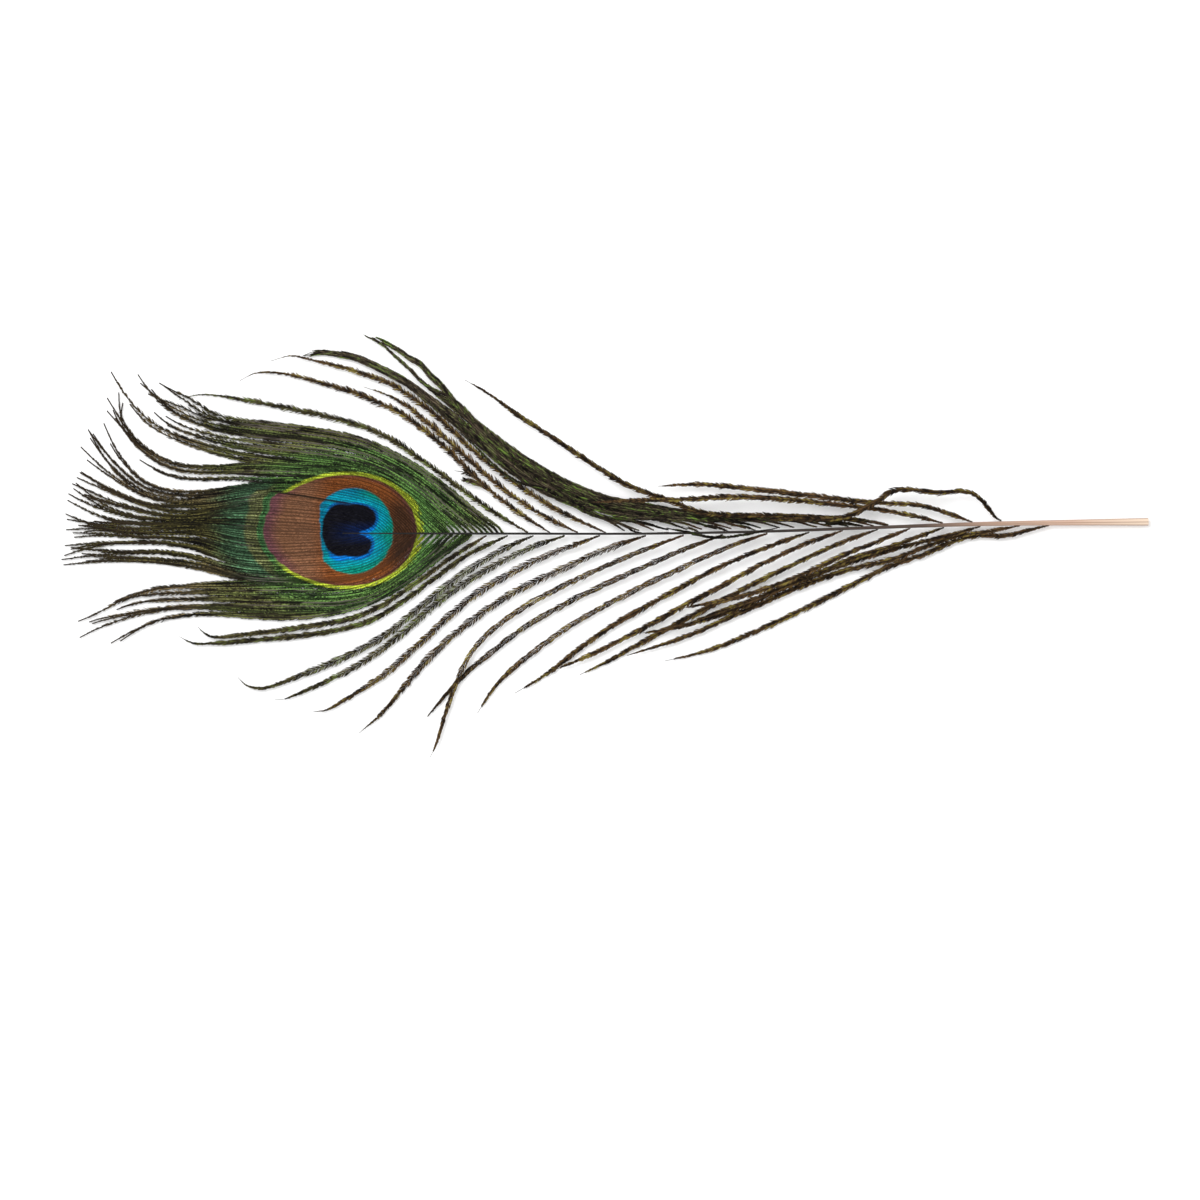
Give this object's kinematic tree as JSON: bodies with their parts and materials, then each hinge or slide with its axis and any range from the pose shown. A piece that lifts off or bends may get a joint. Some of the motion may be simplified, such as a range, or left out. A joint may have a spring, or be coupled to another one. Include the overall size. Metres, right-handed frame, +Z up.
{
  "type": "peacock feather",
  "caption": "Cut end of a peacock train feather: a round iridescent eye in a vane of parted barbs, loose curved barbs along a slender shaft.",
  "frame": {"origin": "middle of the feather's length and width, on the surface that it lies on", "axes": "+X along the shaft towards its cut end, +Y across the feather, +Z up out of the surface"},
  "size_m": [0.2614, 0.1013, 0.0053],
  "materials": {
    "quill": "satin",
    "barb": "matte",
    "eye": "satin"
  },
  "bodies": {
    "root": {"shaft": "quill", "barb_upper_01": "barb", "barb_upper_02": "barb", "barb_upper_03": "barb", "barb_upper_04": "barb", "barb_upper_05": "barb", "barb_upper_06": "barb", "barb_upper_07": "barb", "barb_upper_08": "barb", "barb_lower_01": "barb", "barb_lower_02": "barb", "barb_lower_03": "barb", "barb_lower_04": "barb", "barb_lower_05": "barb", "barb_lower_06": "barb", "barb_lower_07": "barb", "barb_lower_08": "barb", "barb_lower_09": "barb", "barb_lower_10": "barb", "barb_lower_11": "barb", "barb_lower_12": "barb", "barb_lower_13": "barb", "barb_lower_14": "barb", "barb_lower_15": "barb", "barb_lower_16": "barb", "barb_lower_17": "barb", "matted_barbs": "barb", "vane_lock_1": "eye", "vane_lock_2": "eye", "vane_lock_3": "eye", "vane_lock_4": "eye", "vane_lock_5": "eye", "vane_lock_6": "eye"}
  },
  "joints": []
}
